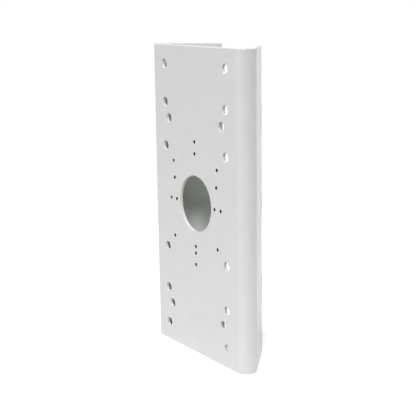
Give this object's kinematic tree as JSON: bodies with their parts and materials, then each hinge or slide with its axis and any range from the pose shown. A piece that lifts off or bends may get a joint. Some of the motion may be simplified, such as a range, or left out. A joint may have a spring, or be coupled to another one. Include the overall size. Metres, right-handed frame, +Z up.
{
  "type": "camera pole mount",
  "caption": "Upright plate with a round cable hole and patterns of bolt and screw holes, folded back and inward along both long sides into slotted flanges that seat on a pole.",
  "frame": {"origin": "centre of the cable hole on the plate's front face", "axes": "+X to the right seen from the front, +Z up along the height, -Y out of the front face, so that the pole lies on the +Y side"},
  "size_m": [0.1506, 0.0526, 0.2884],
  "materials": {
    "white_powder_coat": "white semi-matte powder coat over steel, with a fine orange peel"
  },
  "bodies": {
    "root": {"pole_bracket": "white_powder_coat"}
  },
  "joints": []
}
